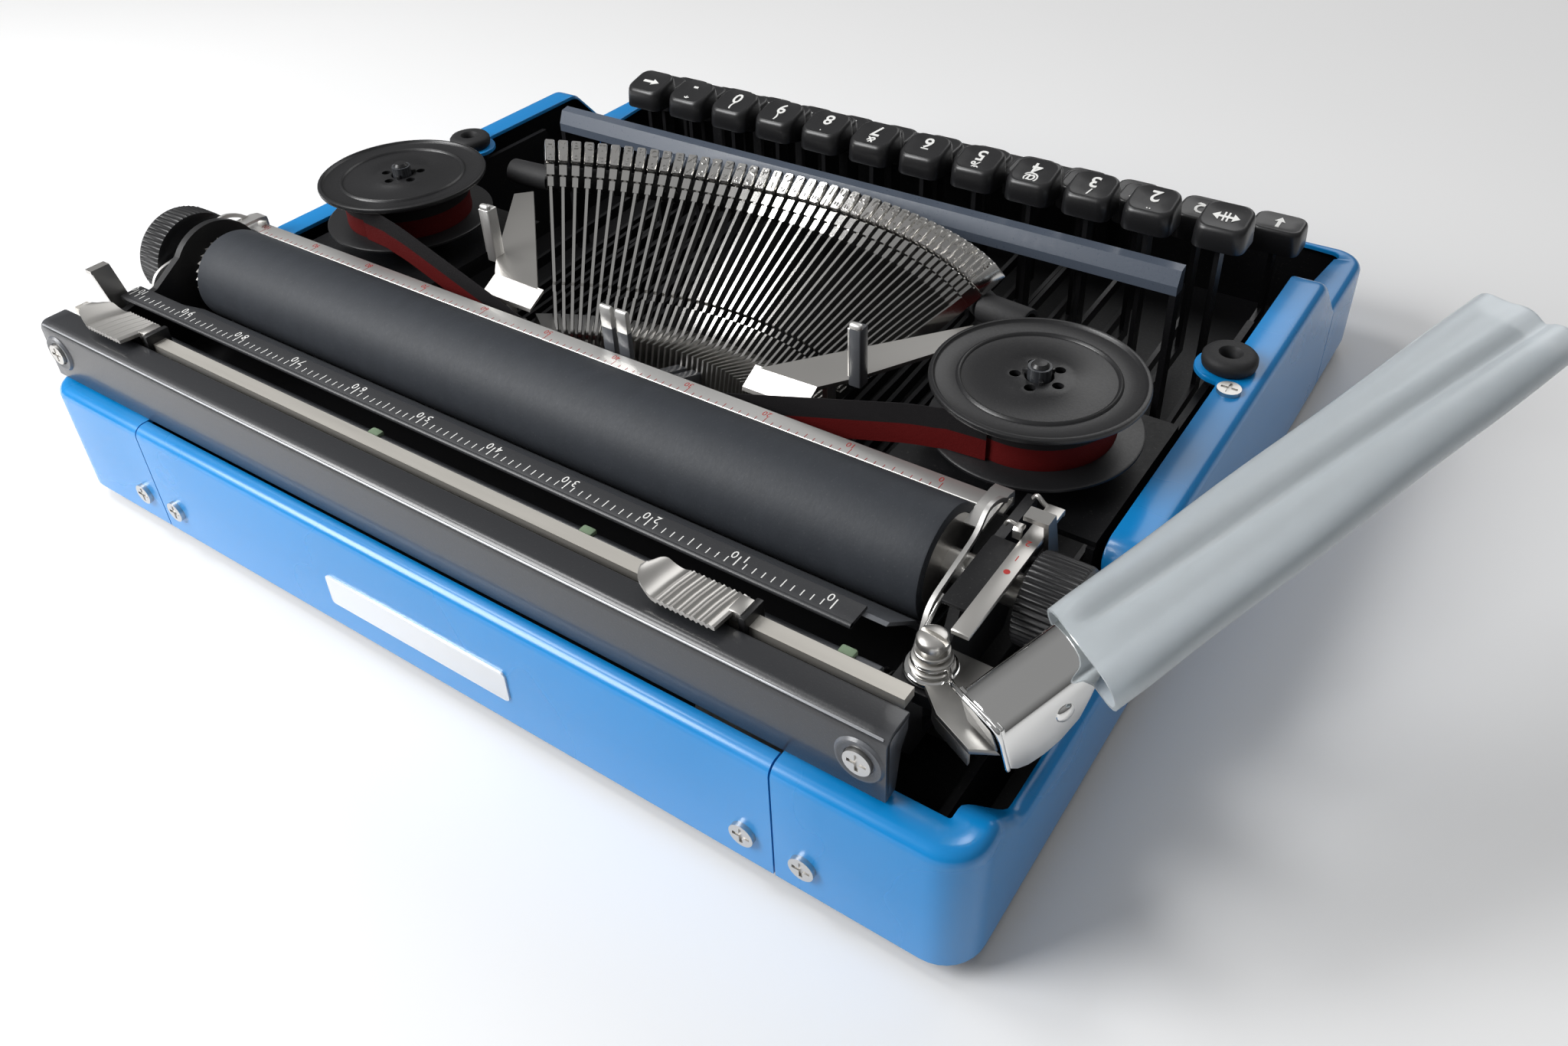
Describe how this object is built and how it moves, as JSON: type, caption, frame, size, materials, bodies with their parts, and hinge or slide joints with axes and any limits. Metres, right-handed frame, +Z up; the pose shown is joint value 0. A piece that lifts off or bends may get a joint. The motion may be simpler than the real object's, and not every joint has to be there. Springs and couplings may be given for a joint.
{
  "type": "portable typewriter",
  "caption": "Flat portable typewriter with a sliding carriage, platen, paper bail, return lever, ribbon spools, slotted type basket and stepped keyboard in a low painted steel body.",
  "frame": {"origin": "on the table under the middle of the body, in the plane of the feet", "axes": "+X to the typist's right, +Y to the rear, +Z up"},
  "size_m": [0.3943, 0.2932, 0.1096],
  "materials": {
    "blue_paint": "bright blue gloss enamel, slightly worn at the edges",
    "black_paint": "satin black enamel",
    "steel": "satin steel with a fine grain",
    "chrome": "bright plating with light wear",
    "rubber": "dark grey rubber, matt",
    "key_plastic": "glossy black plastic",
    "black_plastic": "black moulded plastic",
    "sleeve_plastic": "milky translucent plastic",
    "ribbon_cloth": "inked woven ribbon, red below and black above",
    "slate_paint": "blue-grey enamel"
  },
  "bodies": {
    "frame": {"base_frame": "black_paint", "left_side_shell": "blue_paint", "right_side_shell": "blue_paint", "rear_panel": "blue_paint", "front_apron": "blue_paint", "rubber_feet": "rubber", "cover_grommets": "rubber", "body_screws": "chrome", "carriage_rail": "steel", "spool_spindles": "steel", "type_rest_bar": "slate_paint", "ribbon": "ribbon_cloth", "key_shaft": "steel"},
    "drum": {"spring_drum": "steel"},
    "basket": {"segment": "steel", "typebars": "chrome", "type_rest": "rubber", "wing_plates": "steel", "ribbon_guides": "black_paint"},
    "typebar": {"moving_typebar": "chrome"},
    "spool_left": {"left_spool": "black_plastic"},
    "spool_right": {"right_spool": "black_plastic"},
    "carriage": {"carriage_frame": "black_paint", "rear_cover": "black_paint", "margin_rail": "steel", "paper_table": "black_paint", "paper_scale": "black_paint", "carriage_screws": "chrome", "line_space_plate": "steel", "pivot_screw": "chrome", "coil_spring": "black_paint"},
    "stop_left": {"left_margin_stop": "chrome"},
    "stop_right": {"right_margin_stop": "chrome"},
    "platen": {"platen_roller": "rubber", "platen_shaft": "steel", "platen_knobs": "black_plastic"},
    "rollers": {"feed_rollers": "rubber"},
    "bail": {"paper_bail": "steel"},
    "lever": {"return_lever": "chrome", "lever_sleeve": "sleeve_plastic"},
    "selector": {"line_selector": "chrome"},
    "release": {"release_lever": "chrome"},
    "margin_release_key_body": {"margin_release_key": "key_plastic"},
    "key_2_body": {"key_2": "key_plastic"},
    "key_3_body": {"key_3": "key_plastic"},
    "key_4_body": {"key_4": "key_plastic"},
    "key_5_body": {"key_5": "key_plastic"},
    "key_6_body": {"key_6": "key_plastic"},
    "key_7_body": {"key_7": "key_plastic"},
    "key_8_body": {"key_8": "key_plastic"},
    "key_9_body": {"key_9": "key_plastic"},
    "key_0_body": {"key_0": "key_plastic"},
    "hyphen_key_body": {"hyphen_key": "key_plastic"},
    "backspace_key_body": {"backspace_key": "key_plastic"},
    "upper_row_keys_body": {"upper_row_keys": "key_plastic"},
    "home_row_keys_body": {"home_row_keys": "key_plastic"},
    "bottom_row_keys_body": {"bottom_row_keys": "key_plastic"},
    "shift_keys_body": {"shift_keys": "key_plastic"},
    "shift_lock_body": {"shift_lock": "key_plastic"},
    "space_bar_body": {"space_bar": "key_plastic"}
  },
  "joints": [
    {"name": "carriage_slide", "type": "slide", "parent": "frame", "child": "carriage", "axis": [1, 0, 0], "range_m": [-0.146, 0.104]},
    {"name": "drum_turn", "type": "hinge", "parent": "frame", "child": "drum", "pos_m": [-0.09, 0.122, 0.015], "axis": [0, 0, 1], "range_deg": [-600, 600]},
    {"name": "basket_shift", "type": "slide", "parent": "frame", "child": "basket", "axis": [0, -0.766, -0.6428], "range_m": [0, 0.006], "stiffness_N_per_m": 2200, "springref_m": -0.006},
    {"name": "typebar_swing", "type": "hinge", "parent": "basket", "child": "typebar", "pos_m": [0, 0.01928, 0.03104], "axis": [-1, 0, 0], "range_deg": [0, 115.9], "stiffness_Nm_per_rad": 0.002, "springref_deg": -68.75},
    {"name": "left_spool_spin", "type": "hinge", "parent": "frame", "child": "spool_left", "pos_m": [-0.114, 0.033, 0.065], "axis": [0, 0, 1], "continuous": true},
    {"name": "right_spool_spin", "type": "hinge", "parent": "frame", "child": "spool_right", "pos_m": [0.114, 0.033, 0.065], "axis": [0, 0, 1], "continuous": true},
    {"name": "left_margin_set", "type": "slide", "parent": "carriage", "child": "stop_left", "axis": [1, 0, 0], "range_m": [-0.036, 0.08]},
    {"name": "right_margin_set", "type": "slide", "parent": "carriage", "child": "stop_right", "axis": [1, 0, 0], "range_m": [-0.09, 0.008]},
    {"name": "platen_turn", "type": "hinge", "parent": "carriage", "child": "platen", "pos_m": [0.01, 0.0855, 0.0541], "axis": [1, 0, 0], "continuous": true},
    {"name": "feed_roller_turn", "type": "hinge", "parent": "carriage", "child": "rollers", "pos_m": [0.01, 0.07962, 0.03794], "axis": [1, 0, 0], "continuous": true},
    {"name": "bail_lift", "type": "hinge", "parent": "carriage", "child": "bail", "pos_m": [0.01, 0.11, 0.042], "axis": [-1, 0, 0], "range_deg": [0, 45]},
    {"name": "lever_swing", "type": "hinge", "parent": "carriage", "child": "lever", "pos_m": [-0.1295, 0.114, 0.053], "axis": [0, 0, 1], "range_deg": [0, 25], "stiffness_Nm_per_rad": 0.4, "springref_deg": -5.73},
    {"name": "line_select", "type": "hinge", "parent": "carriage", "child": "selector", "pos_m": [-0.137, 0.072, 0.051], "axis": [1, 0, 0], "range_deg": [-12, 12]},
    {"name": "paper_release", "type": "hinge", "parent": "carriage", "child": "release", "pos_m": [0.1516, 0.116, 0.049], "axis": [-1, 0, 0], "range_deg": [0, 20]},
    {"name": "margin_release_key_press", "type": "hinge", "parent": "frame", "child": "margin_release_key_body", "pos_m": [0, 0.08, 0.014], "axis": [1, 0, 0], "range_deg": [0, 4], "stiffness_Nm_per_rad": 0.5, "springref_deg": -4.58},
    {"name": "key_2_press", "type": "hinge", "parent": "frame", "child": "key_2_body", "pos_m": [0, 0.08, 0.014], "axis": [1, 0, 0], "range_deg": [0, 4], "stiffness_Nm_per_rad": 0.5, "springref_deg": -4.58},
    {"name": "key_3_press", "type": "hinge", "parent": "frame", "child": "key_3_body", "pos_m": [0, 0.08, 0.014], "axis": [1, 0, 0], "range_deg": [0, 4], "stiffness_Nm_per_rad": 0.5, "springref_deg": -4.58},
    {"name": "key_4_press", "type": "hinge", "parent": "frame", "child": "key_4_body", "pos_m": [0, 0.08, 0.014], "axis": [1, 0, 0], "range_deg": [0, 4], "stiffness_Nm_per_rad": 0.5, "springref_deg": -4.58},
    {"name": "key_5_press", "type": "hinge", "parent": "frame", "child": "key_5_body", "pos_m": [0, 0.08, 0.014], "axis": [1, 0, 0], "range_deg": [0, 4], "stiffness_Nm_per_rad": 0.5, "springref_deg": -4.58},
    {"name": "key_6_press", "type": "hinge", "parent": "frame", "child": "key_6_body", "pos_m": [0, 0.08, 0.014], "axis": [1, 0, 0], "range_deg": [0, 4], "stiffness_Nm_per_rad": 0.5, "springref_deg": -4.58},
    {"name": "key_7_press", "type": "hinge", "parent": "frame", "child": "key_7_body", "pos_m": [0, 0.08, 0.014], "axis": [1, 0, 0], "range_deg": [0, 4], "stiffness_Nm_per_rad": 0.5, "springref_deg": -4.58},
    {"name": "key_8_press", "type": "hinge", "parent": "frame", "child": "key_8_body", "pos_m": [0, 0.08, 0.014], "axis": [1, 0, 0], "range_deg": [0, 4], "stiffness_Nm_per_rad": 0.5, "springref_deg": -4.58},
    {"name": "key_9_press", "type": "hinge", "parent": "frame", "child": "key_9_body", "pos_m": [0, 0.08, 0.014], "axis": [1, 0, 0], "range_deg": [0, 4], "stiffness_Nm_per_rad": 0.5, "springref_deg": -4.58},
    {"name": "key_0_press", "type": "hinge", "parent": "frame", "child": "key_0_body", "pos_m": [0, 0.08, 0.014], "axis": [1, 0, 0], "range_deg": [0, 4], "stiffness_Nm_per_rad": 0.5, "springref_deg": -4.58},
    {"name": "hyphen_key_press", "type": "hinge", "parent": "frame", "child": "hyphen_key_body", "pos_m": [0, 0.08, 0.014], "axis": [1, 0, 0], "range_deg": [0, 4], "stiffness_Nm_per_rad": 0.5, "springref_deg": -4.58},
    {"name": "backspace_key_press", "type": "hinge", "parent": "frame", "child": "backspace_key_body", "pos_m": [0, 0.08, 0.014], "axis": [1, 0, 0], "range_deg": [0, 4], "stiffness_Nm_per_rad": 0.5, "springref_deg": -4.58},
    {"name": "upper_row_keys_press", "type": "hinge", "parent": "frame", "child": "upper_row_keys_body", "pos_m": [0, 0.08, 0.014], "axis": [1, 0, 0], "range_deg": [0, 3.5], "stiffness_Nm_per_rad": 6, "springref_deg": -4.58},
    {"name": "home_row_keys_press", "type": "hinge", "parent": "frame", "child": "home_row_keys_body", "pos_m": [0, 0.08, 0.014], "axis": [1, 0, 0], "range_deg": [0, 3.2], "stiffness_Nm_per_rad": 6, "springref_deg": -4.58},
    {"name": "bottom_row_keys_press", "type": "hinge", "parent": "frame", "child": "bottom_row_keys_body", "pos_m": [0, 0.08, 0.014], "axis": [1, 0, 0], "range_deg": [0, 2.9], "stiffness_Nm_per_rad": 6, "springref_deg": -4.58},
    {"name": "shift_keys_press", "type": "hinge", "parent": "frame", "child": "shift_keys_body", "pos_m": [0, 0.08, 0.014], "axis": [1, 0, 0], "range_deg": [0, 2.9], "stiffness_Nm_per_rad": 1.6, "springref_deg": -4.58},
    {"name": "shift_lock_press", "type": "hinge", "parent": "frame", "child": "shift_lock_body", "pos_m": [0, 0.08, 0.014], "axis": [1, 0, 0], "range_deg": [0, 3.2], "stiffness_Nm_per_rad": 0.6, "springref_deg": -4.58},
    {"name": "space_bar_press", "type": "hinge", "parent": "frame", "child": "space_bar_body", "pos_m": [0, 0.08, 0.014], "axis": [1, 0, 0], "range_deg": [0, 2.1], "stiffness_Nm_per_rad": 2.5, "springref_deg": -4.58}
  ],
  "couplings": [
    {"joint": "drum_turn", "follows": "carriage_slide", "rad_per_m": 66.667},
    {"joint": "right_spool_spin", "follows": "left_spool_spin", "ratio": 1},
    {"joint": "feed_roller_turn", "follows": "platen_turn", "ratio": -6.0417},
    {"joint": "key_6_press", "follows": "typebar_swing", "ratio": 0.0345},
    {"joint": "shift_keys_press", "follows": "basket_shift", "rad_per_m": 8.4}
  ]
}
